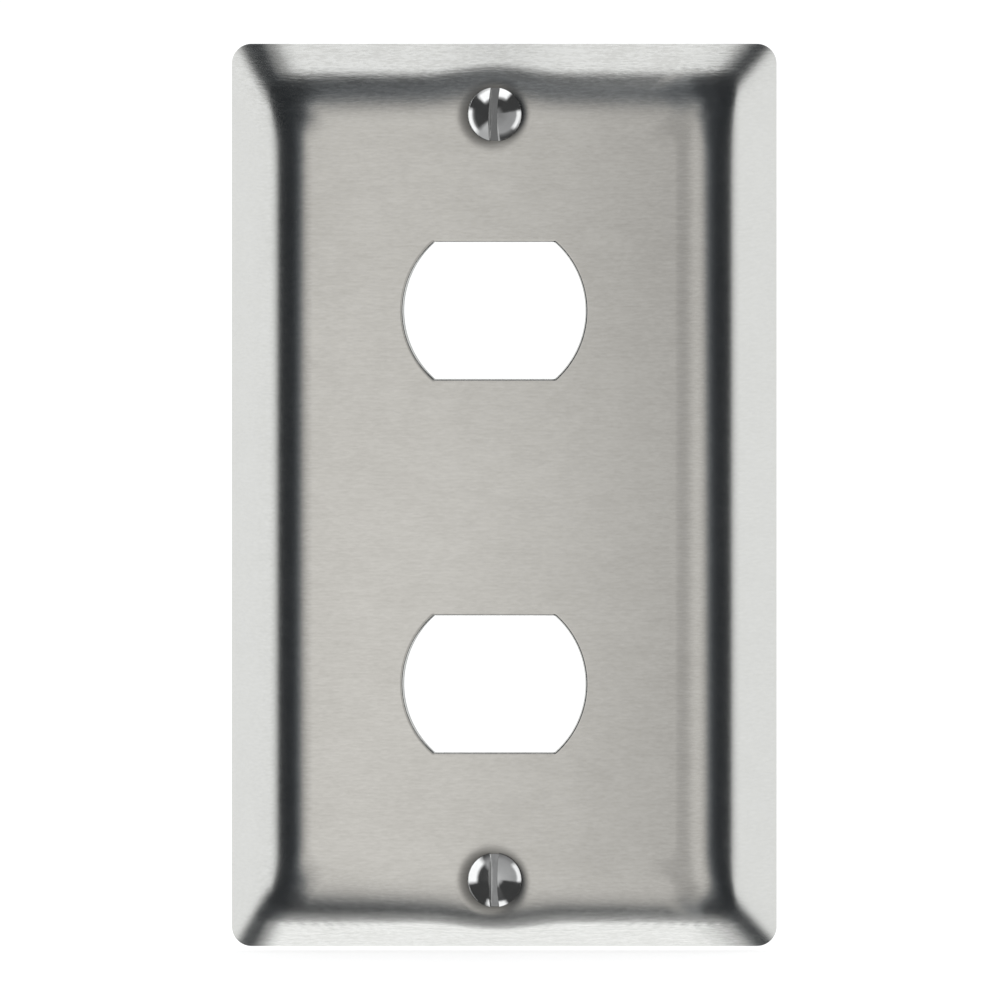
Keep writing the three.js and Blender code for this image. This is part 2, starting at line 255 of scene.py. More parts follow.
def in_opening(c, off):
    z = np.minimum(np.abs(c[:, 1] - OPEN_Z), np.abs(c[:, 1] + OPEN_Z))
    return (np.hypot(c[:, 0], z) < OPEN_R + off - 1e-4) & (z < OPEN_HALF + off - 1e-5)


def triangulate(loops, extra, hole_off, hole_r):
    """Triangles over the plan between the outer loop and the holes. Returns points, triangles and each loop's vertex numbers."""
    verts, edges, first = [], [], []
    for loop in loops:
        n0 = len(verts)
        first.append((n0, len(loop)))
        verts += [tuple(p) for p in loop]
        edges += [(n0 + i, n0 + (i + 1) % len(loop)) for i in range(len(loop))]
    verts += [tuple(p) for p in extra]
    vo, _, fo, orig, _, _ = delaunay_2d_cdt([Vector(v) for v in verts], edges, [], 0, 1e-6)
    pts = np.array([tuple(v) for v in vo])
    tri = np.array(fo)
    c = pts[tri].mean(1)
    keep = ~in_opening(c, hole_off)
    keep &= np.hypot(c[:, 0], np.abs(c[:, 1]) - SCREW_Z) > hole_r * math.cos(math.pi / 112) - 1e-5
    tri = tri[keep]
    a = pts[tri]
    area = (a[:, 1, 0] - a[:, 0, 0]) * (a[:, 2, 1] - a[:, 0, 1]) - (a[:, 1, 1] - a[:, 0, 1]) * (a[:, 2, 0] - a[:, 0, 0])
    tri[area < 0] = tri[area < 0][:, ::-1]
    tri = tri[np.abs(area) > 1e-9]
    where = {}
    for i, o in enumerate(orig):
        for k in o:
            where[k] = i
    return pts, tri, [[where[n0 + i] for i in range(n)] for n0, n in first]


def field(rings, polar, screw_keep):
    """Plan points for a surface: rings round the border, and circles round each screw."""
    out = []
    for w in rings:
        p = outline(w)
        keep = np.hypot(p[:, 0], np.abs(p[:, 1]) - SCREW_Z) > screw_keep
        out.append(p[keep])
    for zc in (SCREW_Z, -SCREW_Z):
        for i, r in enumerate(polar):
            p = circle(zc, r)
            if i % 2:
                p = (p + np.roll(p, 1, 0)) / 2
                d = p - np.array([0, zc])
                p = np.array([0, zc]) + d * (r / np.linalg.norm(d, axis=1, keepdims=True))
            w = inset(p[:, 0], p[:, 1])
            out.append(p[w > 0.35])
    return np.vstack(out)


class Builder:
    """Collects vertices and faces with a normal for every face corner."""
    def __init__(self):
        self.v, self.f, self.n = [], [], []
        self.count = 0

    def add(self, points):
        i = self.count
        self.v.append(np.asarray(points, float))
        self.count += len(points)
        return i

    def faces(self, faces, normals):
        self.f += [tuple(int(k) for k in f) for f in faces]
        self.n += [tuple(map(tuple, n)) for n in normals]

    def strip(self, ia, na, ib, nb):
        """Quads between two closed loops of equal length, listed in the same turn."""
        m = len(ia)
        for k in range(m):
            q = (k + 1) % m
            self.f.append((ia[k], ia[q], ib[q], ib[k]))
            self.n.append((tuple(na[k]), tuple(na[q]), tuple(nb[q]), tuple(nb[k])))

    def build(self, name, flip=False):
        co = np.vstack(self.v) * MM
        me = bpy.data.meshes.new(name)
        me.from_pydata(co.tolist(), [], self.f)
        me.validate(clean_customdata=False)
        me.update()
        me.polygons.foreach_set("use_smooth", [True] * len(me.polygons))
        flat = [n for face in self.n for n in face]
        if len(flat) == len(me.loops):
            me.normals_split_custom_set(flat)
        ob = bpy.data.objects.new(name, me)
        bpy.context.scene.collection.objects.link(ob)
        return ob


def opening_profile():
    """(grow, depth, grow-normal, depth-normal) from the face, over the rolled punch edge, down the wall to the back."""
    rh, rv, rb = 0.42, 0.24, 0.05
    rows = []
    for i in range(8):
        a = math.radians(90 * i / 7)
        nx, ny = math.sin(a) / rh, math.cos(a) / rv
        l = math.hypot(nx, ny)
        rows.append((rh * (1 - math.sin(a)), DEPTH - rv * (1 - math.cos(a)), -nx / l, ny / l))
    back = DEPTH - SHEET
    for f in (0.35, 0.7):
        rows.append((0.0, DEPTH - rv + (back + rb - DEPTH + rv) * f, -1, 0))
    for i in range(5):
        a = math.radians(90 * i / 4)
        rows.append((rb * (1 - math.cos(a)), back + rb * (1 - math.sin(a)), -math.cos(a), -math.sin(a)))
    return rows


def dimple_profile():
    """(radius, depth, normal) from the bottom of the lip down the cone, round the hole, across the cone's
    flat end and up its back to where the back of the sheet takes over."""
    ca, sa = math.cos(CONE_HALF), math.sin(CONE_HALF)
    rows = [(LIP_IN, LIP_DEPTH, -ca, sa)]
    r1, d1 = HOLE_R + 0.12 * CONE, SEAT_BOTTOM + 0.12
    for f in (0.25, 0.5, 0.75, 1.0):
        rows.append((LIP_IN + (r1 - LIP_IN) * f, LIP_DEPTH + (d1 - LIP_DEPTH) * f, -ca, sa))
    er = 0.07
    cx, cd = r1 + er * ca, d1 - er * sa
    for i in range(1, 7):
        a = math.radians(139 + (270 - 139) * i / 6)
        rows.append((cx + er * math.cos(a), cd + er * math.sin(a), math.cos(a), math.sin(a)))
    end = rows[-1][1]
    # the far edge of the flat end, rounded on to the back of the cone, whose normal is (ca, -sa)
    back_r = lambda d: HOLE_R + WALL + (d - SEAT_BOTTOM) * CONE
    eo = 0.1
    cd = end + eo
    cx = back_r(cd - eo * sa) - eo * ca
    rows.append((cx - 0.25, end, 0, -1))
    for i in range(0, 5):
        a = math.radians(270 + 49 * i / 4)
        rows.append((cx + eo * math.cos(a), cd + eo * math.sin(a), math.cos(a), math.sin(a)))
    d0, d2 = rows[-1][1], LIP_DEPTH - SHEET * sa
    for f in (0.33, 0.67):
        d = d0 + (d2 - d0) * f
        rows.append((back_r(d), d, ca, -sa))
    return rows


# ---- wall plate -------------------------------------------------------------------------
def make_plate():
    b = Builder()
    roll = [BORDER - ROLL_R * math.sin(FLANK * i / 34) for i in range(34, -1, -1)]
    flank = list(np.linspace(0, FLANK_RUN, 9))[1:-1]
    prof_o = opening_profile()
    grow = prof_o[0][0]
    prof_d = dimple_profile()

    # front
    rings = flank + roll
    polar = [LIP_IN + 0.12 * i for i in range(1, 13)] + [LIP_IN + 1.44 + 0.22 * i for i in range(1, 17)]
    extra = field(rings, polar, 8.25)
    extra = extra[~in_opening(extra, grow + 0.3)]
    loops = [outline(0.0)] + [opening_outline(s * OPEN_Z, grow) for s in (1, -1)] \
        + [circle(s * SCREW_Z, LIP_IN) for s in (1, -1)]
    pts, tri, at = triangulate(loops, extra, grow, LIP_IN)
    p, n = front(pts[:, 0], pts[:, 1])
    p[at[0], 1] = 0.0
    i0 = b.add(p)
    n = sheen(pts[:, 0], pts[:, 1])
    b.faces(tri + i0, n[tri])
    front_loops = [[i + i0 for i in a] for a in at]

    # back
    lo, hi = np.zeros(len(STATIONS)), np.full(len(STATIONS), 2.5)
    for _ in range(30):
        mid = (lo + hi) / 2
        o = outline(mid)
        q, _n = rear(o[:, 0], o[:, 1])
        above = q[:, 1] < 0
        hi, lo = np.where(above, mid, hi), np.where(above, lo, mid)
    w_rim = hi
    rings_b = [w for w in flank if w > 0.9] + roll[::2]
    polar_b = [LIP_IN + 0.2 * i for i in range(1, 8)] + [LIP_IN + 1.4 + 0.35 * i for i in range(1, 11)]
    extra = field(rings_b, polar_b, 8.25)
    extra = extra[~in_opening(extra, prof_o[-1][0] + 0.3)]
    extra = extra[inset(extra[:, 0], extra[:, 1]) > 0.85]
    loops = [outline(w_rim)] + [opening_outline(s * OPEN_Z, prof_o[-1][0]) for s in (1, -1)] \
        + [circle(s * SCREW_Z, LIP_IN) for s in (1, -1)]
    pts, tri, at = triangulate(loops, extra, prof_o[-1][0], LIP_IN)
    q, m = rear(pts[:, 0], pts[:, 1])
    q[at[0], 1] = 0.0
    for k in (1, 2):
        q[at[k], 1] = -(DEPTH - SHEET)
        q[at[k], 0], q[at[k], 2] = pts[at[k], 0], pts[at[k], 1]
    i1 = b.add(q)
    b.faces(tri[:, ::-1] + i1, m[tri[:, ::-1]])
    back_loops = [[i + i1 for i in a] for a in at]

    # rim on the wall
    up = [(0, 1, 0)] * len(STATIONS)
    b.strip(front_loops[0], up, back_loops[0], up)

    # openings
    for k, s in ((1, 1), (2, -1)):
        zc = s * OPEN_Z
        base = opening_outline(zc, 0.0)
        out = opening_outline(zc, 1.0) - base
        prev, prev_n = front_loops[k], [(0, -1, 0)] * len(base)
        for j, (g, d, ng, nd) in enumerate(prof_o[1:], 1):
            normals = [(ng * o[0], -nd, ng * o[1]) for o in out]
            if j == len(prof_o) - 1:
                cur = back_loops[k]
            else:
                loop = opening_outline(zc, g)
                i = b.add(np.stack([loop[:, 0], np.full(len(loop), -d), loop[:, 1]], -1))
                cur = list(range(i, i + len(loop)))
            b.strip(prev, prev_n, cur, normals)
            prev, prev_n = cur, normals

    # dimples
    t = np.arange(112) * 2 * math.pi / 112
    ux, uz = np.cos(t), np.sin(t)
    ring = lambda nr, nd: [(nr * ux[j], -nd, nr * uz[j]) for j in range(112)]
    for k, s in ((3, 1), (4, -1)):
        zc = s * SCREW_Z
        prev, prev_n = front_loops[k], ring(-math.sin(math.radians(14)), math.cos(math.radians(14)))
        for r, d, nr, nd in prof_d[1:]:
            i = b.add(np.stack([r * ux, np.full(112, -d), zc + r * uz], -1))
            cur = list(range(i, i + 112))
            b.strip(prev, prev_n, cur, ring(nr, nd))
            prev, prev_n = cur, ring(nr, nd)
        b.strip(prev, prev_n, back_loops[k], ring(prof_d[-1][2], prof_d[-1][3]))
    return b.build("plate_shell")


# ---- screws -----------------------------------------------------------------------------
def revolve(name, rows, seg, zc=0.0):
    """A closed turned mesh about Y through z = zc. rows are (radius, y), the first and last on the axis."""
    t = np.arange(seg) * 2 * math.pi / seg
    verts, faces, loops = [], [], []
    for r, y in rows:
        if r < 1e-9:
            verts.append((0, y, zc))
            loops.append([len(verts) - 1])
        else:
            i = len(verts)
            verts += [(r * math.sin(a), y, zc + r * math.cos(a)) for a in t]
            loops.append(list(range(i, i + seg)))
    for a, c in zip(loops, loops[1:]):
        for k in range(seg):
            q = (k + 1) % seg
            if len(a) == 1:
                faces.append((a[0], c[k], c[q]))
            elif len(c) == 1:
                faces.append((a[k], c[0], a[q]))
            else:
                faces.append((a[k], c[k], c[q], a[q]))
    me = bpy.data.meshes.new(name)
    me.from_pydata((np.array(verts) * MM).tolist(), [], faces)
    me.update()
    ob = bpy.data.objects.new(name, me)
    bpy.context.scene.collection.objects.link(ob)
    return ob


def outward(ob):
    """Turns every face outwards."""
    import bmesh
    bm = bmesh.new()
    bm.from_mesh(ob.data)
    bmesh.ops.recalc_face_normals(bm, faces=bm.faces)
    if bm.calc_volume(signed=True) < 0:
        bmesh.ops.reverse_faces(bm, faces=bm.faces)
    bm.to_mesh(ob.data)
    bm.free()


def dome_y(r):
    return -(HEAD_DEPTH + HEAD_EDGE) - HEAD_DOME + DOME_R - math.sqrt(max(DOME_R ** 2 - r * r, 0))


def make_screw(name, zc, turn_deg):
    seg = 96
    rows = [(0, dome_y(0))]
    for i in range(1, 21):
        r = (HEAD_R - 0.05) * i / 20
        rows.append((r, dome_y(r)))
    # rounded edge between the dome, the short edge and the cone
    ye = dome_y(HEAD_R - 0.05)
    for a in (25, 50, 75, 90):
        rows.append((HEAD_R - 0.05 + 0.05 * math.sin(math.radians(a)), ye + 0.05 * (1 - math.cos(math.radians(a))) + 0.01))
    y_edge = -HEAD_DEPTH
    rows.append((HEAD_R, y_edge - 0.01))
    rows.append((HEAD_R - 0.03, y_edge + 0.02))
    start = y_edge + (HEAD_R - MINOR) / CONE
    for f in (0.2, 0.4, 0.6, 0.8, 0.93):
        rows.append((HEAD_R + (MINOR - HEAD_R) * f, y_edge + (start - y_edge) * f))
    rows.append((MINOR + 0.05, start + 0.02))
    per = 12
    y0, y1 = start + 0.1, TIP_Y
    count = int((y1 - y0) / (PITCH / per))
    shank_first = len(rows)
    for i in range(count + 1):
        rows.append((MINOR, y0 + (y1 - y0) * i / count))
    shank_last = len(rows) - 1
    rows.append((MINOR * 0.55, TIP_Y))
    rows.append((0, TIP_Y))
    ob = revolve(name, rows, seg, 0.0)
    co = np.array([v.co for v in ob.data.vertices]) * 1000
    # helical thread: crest and root flats with 60 degree flanks, run in at the head and out at the tip
    first = 1 + (shank_first - 1) * seg
    last = 1 + shank_last * seg
    c = co[first:last]
    ang = np.arctan2(c[:, 0], c[:, 2]) / (2 * math.pi)
    ph = c[:, 1] / PITCH - ang
    ph -= np.floor(ph)
    tri = 1 - np.abs(ph - 0.5) * 2
    ridge = np.clip((tri - 0.14) / 0.72, 0, 1)
    y = c[:, 1]
    run_in = np.clip((y - y0) / (PITCH * 0.9), 0, 1)
    chamfer = np.clip((TIP_Y - y) / 0.55, 0, 1)
    limit = MINOR - 0.12 + (MAJOR - MINOR + 0.12) * chamfer
    rad = np.minimum(MINOR + (MAJOR - MINOR) * ridge * run_in, limit)
    k = rad / np.hypot(c[:, 0], c[:, 2])
    c[:, 0] *= k
    c[:, 2] *= k
    co[first:last] = c
    ob.data.vertices.foreach_set("co", (co * MM).astype(np.float32).ravel())
    outward(ob)

    # slot: a cutter whose mouth is eased where it leaves the dome
    cut_v, cut_f = [], []
    bottom = -(HEAD_DEPTH + HEAD_EDGE + HEAD_DOME) + SLOT_DEPTH
    hw, ease = SLOT_W / 2, 0.07
    zs = np.linspace(-HEAD_R - 0.6, HEAD_R + 0.6, 61)
    for z in zs:
        ys = dome_y(min(math.hypot(hw, z), HEAD_R - 0.02))
        sec = [(-hw + 0.03, bottom), (hw - 0.03, bottom), (hw, bottom - 0.03), (hw, ys + ease),
               (hw + 0.012, ys + ease * 0.55), (hw + 0.04, ys + ease * 0.18), (hw + ease, ys - 0.012), (hw + ease + 0.05, ys - 0.5), (hw + ease + 0.05, -12.0)]
        sec += [(-x, yy) for x, yy in reversed(sec[2:])]
        cut_v += [(x, yy, z) for x, yy in sec]
        m = len(sec)
    for i in range(len(zs) - 1):
        for j in range(m):
            q = (j + 1) % m
            cut_f.append((i * m + j, i * m + q, (i + 1) * m + q, (i + 1) * m + j))
    cut_f.append(tuple(range(m)))
    cut_f.append(tuple((len(zs) - 1) * m + j for j in reversed(range(m))))
    me = bpy.data.meshes.new("cutter")
    me.from_pydata((np.array(cut_v) * MM).tolist(), [], cut_f)
    cutter = bpy.data.objects.new("cutter", me)
    bpy.context.scene.collection.objects.link(cutter)
    outward(cutter)
    mod = ob.modifiers.new("slot", "BOOLEAN")
    mod.operation, mod.object, mod.solver = "DIFFERENCE", cutter, "EXACT"
    bpy.context.view_layer.update()
    dg = bpy.context.evaluated_depsgraph_get()
    done = bpy.data.meshes.new_from_object(ob.evaluated_get(dg))
    ob.modifiers.clear()
    old = ob.data
    ob.data = done
    bpy.data.meshes.remove(old)
    bpy.data.objects.remove(cutter)
    done.name = name
    a = math.radians(turn_deg)
    co = np.array([v.co for v in done.vertices])
    x, z = co[:, 0].copy(), co[:, 2].copy()
    co[:, 0] = x * math.cos(a) + z * math.sin(a)
    co[:, 2] = -x * math.sin(a) + z * math.cos(a) + zc * MM
    done.vertices.foreach_set("co", co.astype(np.float32).ravel())
    done.update()
    done.polygons.foreach_set("use_smooth", [True] * len(done.polygons))
    done.set_sharp_from_angle(angle=math.radians(32))
    return ob


def make_washer(name, zc, seed):
    """A die-cut fibre washer: slightly rounded edges and a faintly uneven rim."""
    y0, y1 = wash_lo[1], wash_hi[1]
    ro, ri, e = (wash_hi[0] - wash_lo[0]) / 2, 1.8, 0.09
    ring = []
    for (r, y, sr, sy) in ((ro, y0, -1, 1), (ro, y1, -1, -1), (ri, y1, 1, -1), (ri, y0, 1, 1)):
        steps = ((0, 1), (0.3, 0.3), (1, 0)) if (sr, sy) in ((-1, -1), (1, 1)) else ((1, 0), (0.3, 0.3), (0, 1))
        for fx, fy in steps:
            ring.append((r + sr * e * fx, y + sy * e * fy))
    seg = 120
    rng = np.random.default_rng(seed)
    ph = rng.uniform(0, 6.28, 6)
    verts, faces = [], []
    m = len(ring)
    for i in range(seg):
        t = 2 * math.pi * i / seg
        wob = 0.012 * math.sin(3 * t + ph[0]) + 0.008 * math.sin(7 * t + ph[1]) + 0.006 * math.sin(13 * t + ph[2])
        for r, y in ring:
            k = (r - ri) / (ro - ri)
            rr = r - max(0.0, wob + 0.026) * k
            verts.append((rr * math.sin(t), y, zc + rr * math.cos(t)))
    for i in range(seg):
        q = (i + 1) % seg
        for j in range(m):
            p = (j + 1) % m
            faces.append((i * m + j, i * m + p, q * m + p, q * m + j))
    me = bpy.data.meshes.new(name)
    me.from_pydata((np.array(verts) * MM).tolist(), [], faces)
    ob = bpy.data.objects.new(name, me)
    bpy.context.scene.collection.objects.link(ob)
    outward(ob)
    me.polygons.foreach_set("use_smooth", [True] * len(me.polygons))
    me.set_sharp_from_angle(angle=math.radians(50))
    return ob


# ---- materials --------------------------------------------------------------------------
def srgb(v):
    v = v / 255
    return v / 12.92 if v <= 0.04045 else ((v + 0.055) / 1.055) ** 2.4


class Nodes:
    def __init__(self, tree):
        self.t = tree
        tree.nodes.clear()

    def new(self, kind, **inputs):
        n = self.t.nodes.new(kind)
        for key, val in inputs.items():
            if hasattr(n, key) and key not in n.inputs:
                setattr(n, key, val)
        return n

    def link(self, a, b):
        self.t.links.new(a, b)

    def math(self, op, a, b=None, clamp=False):
        n = self.t.nodes.new("ShaderNodeMath")
        n.operation, n.use_clamp = op, clamp
        for i, v in enumerate((a, b)):
            if v is None:
                continue
            if isinstance(v, (int, float)):
                n.inputs[i].default_value = v
            else:
                self.link(v, n.inputs[i])
        return n.outputs[0]

    def ramp(self, fac, stops, interpolation="LINEAR"):
        """A scalar curve: stops are (position, value) and may exceed one through a scale."""
        top = max(v for _, v in stops) or 1.0
        n = self.t.nodes.new("ShaderNodeValToRGB")
        n.color_ramp.interpolation = interpolation
        el = n.color_ramp.elements
        while len(el) > 1:
            el.remove(el[-1])
        el[0].position, el[0].color = stops[0][0], (stops[0][1] / top,) * 3 + (1,)
        for p, v in stops[1:]:
            e = el.new(p)
            e.color = (v / top,) * 3 + (1,)
        self.link(fac, n.inputs[0])
        sep = self.t.nodes.new("ShaderNodeSeparateColor")
        self.link(n.outputs[0], sep.inputs[0])
        return self.math("MULTIPLY", sep.outputs[0], top)

    def mix(self, fac, a, b, blend="MIX"):
        n = self.t.nodes.new("ShaderNodeMix")
        n.data_type, n.blend_type = "RGBA", blend
        for sock, v in ((n.inputs[0], fac), (n.inputs[6], a), (n.inputs[7], b)):
            if isinstance(v, (int, float)):
                sock.default_value = v
            elif isinstance(v, tuple):
                sock.default_value = v
            else:
                self.link(v, sock)
        return n.outputs[2]

    def noise(self, vec, scale, detail=2.0, rough=0.5):
        n = self.t.nodes.new("ShaderNodeTexNoise")
        n.inputs["Scale"].default_value = scale
        n.inputs["Detail"].default_value = detail
        n.inputs["Roughness"].default_value = rough
        self.link(vec, n.inputs["Vector"])
        return n.outputs["Fac"]

    def scaled(self, vec, s):
        n = self.t.nodes.new("ShaderNodeMapping")
        n.vector_type = "POINT"
        n.inputs["Scale"].default_value = s
        self.link(vec, n.inputs["Vector"])
        return n.outputs[0]


def new_material(name):
    m = bpy.data.materials.new(name)
    m.use_nodes = True
    return m, Nodes(m.node_tree)


def brushed_stainless():
    m, k = new_material("brushed_stainless")
    out = k.new("ShaderNodeOutputMaterial")
    p = k.new("ShaderNodeBsdfPrincipled")
    k.link(p.outputs[0], out.inputs[0])
    tc = k.new("ShaderNodeTexCoord")
    obj = tc.outputs["Object"]
    # grain in metres: short fine strokes along X, a few longer ones, and soft clouding
    fine = k.noise(k.scaled(obj, (1150, 1500, 4300)), 1.0, 2.0, 0.55)
    mid = k.noise(k.scaled(obj, (260, 900, 3300)), 1.0, 2.0, 0.5)
    cloud = k.noise(k.scaled(obj, (230, 230, 330)), 1.0, 3.0, 0.55)
    wide = k.noise(k.scaled(obj, (45, 45, 60)), 1.0, 2.0, 0.5)
    grain = k.math("ADD", k.math("MULTIPLY", fine, 0.68), k.math("MULTIPLY", mid, 0.32))
    soft = k.math("ADD", k.math("MULTIPLY", cloud, 0.6), k.math("MULTIPLY", wide, 0.4))
    tone = k.math("ADD", k.math("MULTIPLY", grain, 0.62), k.math("MULTIPLY", soft, 0.38))
    # the flanks are drawn smoother than the face
    geo = k.new("ShaderNodeNewGeometry")
    facing = k.new("ShaderNodeSeparateXYZ")
    k.link(geo.outputs["Normal"], facing.inputs[0])
    flat = k.ramp(k.math("ABSOLUTE", facing.outputs[0]), [(0.25, 1.0), (0.62, 0.35)])
    flat = k.math("MULTIPLY", flat, k.ramp(facing.outputs[2], [(0.22, 1.0), (0.5, 2.3)]))
    centred = k.math("MULTIPLY", k.math("SUBTRACT", tone, 0.5), flat)
    fac = k.ramp(k.math("ADD", centred, 0.5), [(0.36, 0.0), (0.64, 1.0)])
    col = k.mix(fac, (0.545, 0.537, 0.516, 1), (0.645, 0.638, 0.618, 1))
    # painted shade: the front's colour is darkened in a soft ring round each screw head, where the head meets its
    # recess
    place = k.new("ShaderNodeSeparateXYZ")
    k.link(obj, place.inputs[0])
    rz = k.math("SUBTRACT", k.math("ABSOLUTE", place.outputs[2]), SCREW_Z * MM)
    r = k.math("SQRT", k.math("ADD", k.math("MULTIPLY", place.outputs[0], place.outputs[0]), k.math("MULTIPLY", rz, rz)))
    ring = k.ramp(k.math("MULTIPLY", r, 100.0), [(0.0, 1.0), (0.28, 1.0), (0.33, 0.34), (0.355, 0.38), (0.385, 0.52), (0.415, 0.66),
                                                 (0.445, 0.82), (0.475, 0.94), (0.52, 1.0)])
    shade_ring_front = k.math("GREATER_THAN", k.math("MULTIPLY", place.outputs[1], -1.0), 0.0042)
    # the near-black colour is the painted shade, laid on the front only
    col = k.mix(shade_ring_front, col, k.mix(ring, (0.012, 0.011, 0.010, 1), col))
    k.link(col, p.inputs["Base Color"])
    p.inputs["Metallic"].default_value = 1.0
    rough = k.math("ADD", k.math("MULTIPLY", tone, 0.08), 0.155)
    k.link(rough, p.inputs["Roughness"])
    p.inputs["Anisotropic"].default_value = 0.62
    # the grooves run along X, so the blur is across them
    tan = k.new("ShaderNodeCombineXYZ")
    tan.inputs[2].default_value = 1.0
    k.link(tan.outputs[0], p.inputs["Tangent"])
    bump = k.new("ShaderNodeBump")
    k.link(k.math("MULTIPLY", flat, 0.6), bump.inputs["Strength"])
    bump.inputs["Distance"].default_value = 0.000012
    k.link(k.math("ADD", k.math("MULTIPLY", fine, 0.5), k.math("MULTIPLY", mid, 0.5)), bump.inputs["Height"])
    k.link(bump.outputs[0], p.inputs["Normal"])
    return m


def polished_steel():
    m, k = new_material("polished_steel")
    out = k.new("ShaderNodeOutputMaterial")
    p = k.new("ShaderNodeBsdfPrincipled")
    k.link(p.outputs[0], out.inputs[0])
    tc = k.new("ShaderNodeTexCoord")
    obj = tc.outputs["Object"]
    scuff = k.noise(k.scaled(obj, (900, 900, 900)), 1.0, 3.0, 0.6)
    fine = k.noise(k.scaled(obj, (5200, 5200, 5200)), 1.0, 2.0, 0.5)
    col = k.mix(scuff, (0.72, 0.72, 0.715, 1), (0.86, 0.86, 0.85, 1))
    k.link(col, p.inputs["Base Color"])
    p.inputs["Metallic"].default_value = 1.0
    k.link(k.math("ADD", k.math("MULTIPLY", scuff, 0.07), 0.055), p.inputs["Roughness"])
    bump = k.new("ShaderNodeBump")
    bump.inputs["Strength"].default_value = 0.55
    bump.inputs["Distance"].default_value = 0.000008
    k.link(k.math("ADD", scuff, k.math("MULTIPLY", fine, 0.3)), bump.inputs["Height"])
    k.link(bump.outputs[0], p.inputs["Normal"])
    return m


def red_fibre():
    m, k = new_material("red_fibre")
    out = k.new("ShaderNodeOutputMaterial")
    p = k.new("ShaderNodeBsdfPrincipled")
    k.link(p.outputs[0], out.inputs[0])
    tc = k.new("ShaderNodeTexCoord")
    obj = tc.outputs["Object"]
    speck = k.noise(k.scaled(obj, (3500, 3500, 3500)), 1.0, 4.0, 0.65)
    strand = k.noise(k.scaled(obj, (900, 6000, 2200)), 1.0, 3.0, 0.6)
    f = k.math("ADD", k.math("MULTIPLY", speck, 0.55), k.math("MULTIPLY", strand, 0.45))
    col = k.mix(k.ramp(f, [(0.32, 0.0), (0.68, 1.0)]), (0.085, 0.016, 0.011, 1), (0.235, 0.052, 0.034, 1))
    k.link(col, p.inputs["Base Color"])
    k.link(k.math("ADD", k.math("MULTIPLY", f, 0.25), 0.55), p.inputs["Roughness"])
    bump = k.new("ShaderNodeBump")
    bump.inputs["Strength"].default_value = 0.5
    bump.inputs["Distance"].default_value = 0.00003
    k.link(f, bump.inputs["Height"])
    k.link(bump.outputs[0], p.inputs["Normal"])
    return m


steel, bright, fibre = brushed_stainless(), polished_steel(), red_fibre()

plate = make_plate()
plate.data.materials.append(steel)
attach(plate, "plate")
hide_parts("wall_plate")

for where, zc, turn in (("upper", SCREW_Z, 1.6), ("lower", -SCREW_Z, -0.4)):
    s = make_screw(where + "_slotted_screw", zc, turn)
    s.data.materials.append(bright)
    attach(s, where + "_screw")
    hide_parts(where + "_screw")
    w = make_washer(where + "_fibre_washer", zc, 3 if where == "upper" else 8)
    w.data.materials.append(fibre)
    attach(w, where + "_retainer")
    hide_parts(where + "_retaining_washer")


# ---- studio -----------------------------------------------------------------------------
def quad(name, corners):
    me = bpy.data.meshes.new(name)
    me.from_pydata(corners, [], [(0, 1, 2, 3)])
    ob = bpy.data.objects.new(name, me)
    bpy.context.scene.collection.objects.link(ob)
    return ob


# pale floor just under the plate; the metal doesn't mirror it, the studio does that
fz = float(plate_lo[2]) * MM - 0.0005
floor = quad("studio_floor", [(-40, -40, fz), (40, -40, fz), (40, 40, fz), (-40, 40, fz)])
fm, k = new_material("studio_floor")
o = k.new("ShaderNodeOutputMaterial")
em = k.new("ShaderNodeEmission")
em.inputs[0].default_value = (1, 1, 1, 1)
em.inputs[1].default_value = 0.80
df = k.new("ShaderNodeBsdfDiffuse")
df.inputs[0].default_value = (0.42, 0.42, 0.42, 1)
ad = k.new("ShaderNodeAddShader")
k.link(em.outputs[0], ad.inputs[0])
k.link(df.outputs[0], ad.inputs[1])
k.link(ad.outputs[0], o.inputs[0])
floor.data.materials.append(fm)
floor.visible_glossy = False
floor.visible_diffuse = False

def unseen(ob):
    ob.visible_camera = False
    ob.visible_shadow = False
    ob.visible_diffuse = True


def emitter(name):
    m, k = new_material(name)
    m.cycles.emission_sampling = "NONE"
    return m, k, k.new("ShaderNodeOutputMaterial"), k.new("ShaderNodeEmission")


def tinted(k, lum):
    """Bright panels are neutral, the gaps between them fall to a cool grey."""
    f = k.ramp(k.math("MULTIPLY", lum, 1.0, clamp=True), [(0.0, 0.0), (0.30, 1.0)])
    return k.mix(f, (0.86, 0.97, 1.10, 1), (0.975, 0.995, 1.005, 1))


# front card: warm white, with a paler heart and grey margins, dark beyond its sides
CARD_Y = -0.25
card = quad("studio_card", [(-0.37, CARD_Y, -0.90), (0.37, CARD_Y, -0.90), (0.37, CARD_Y, 0.90), (-0.37, CARD_Y, 0.90)])
cm, k, o, em = emitter("studio_card")
geo = k.new("ShaderNodeNewGeometry")
sep = k.new("ShaderNodeSeparateXYZ")
k.link(geo.outputs["Position"], sep.inputs[0])
across = lambda x: (x + 0.37) / 0.74
along = lambda z: (z + 0.9) / 1.8
fx = k.math("MULTIPLY", k.math("ADD", sep.outputs[0], 0.37), 1 / 0.74)
fz_ = k.math("MULTIPLY", k.math("ADD", sep.outputs[2], 0.9), 1 / 1.8)
H = k.ramp(fx, [(across(x), v) for x, v in (
    (-0.25, 0.035), (-0.205, 0.042), (-0.172, 0.10), (-0.150, 0.25), (-0.1325, 0.56), (-0.1145, 0.76), (-0.098, 0.87),
    (-0.070, 1.06), (-0.055, 0.99), (-0.043, 0.905), (-0.033, 0.79), (-0.024, 0.66), (0.0, 0.58), (0.030, 0.59),
    (0.048, 0.69), (0.0625, 0.80), (0.080, 0.88), (0.105, 0.87), (0.1325, 0.60), (0.152, 0.25), (0.172, 0.10),
    (0.205, 0.045), (0.25, 0.035))])
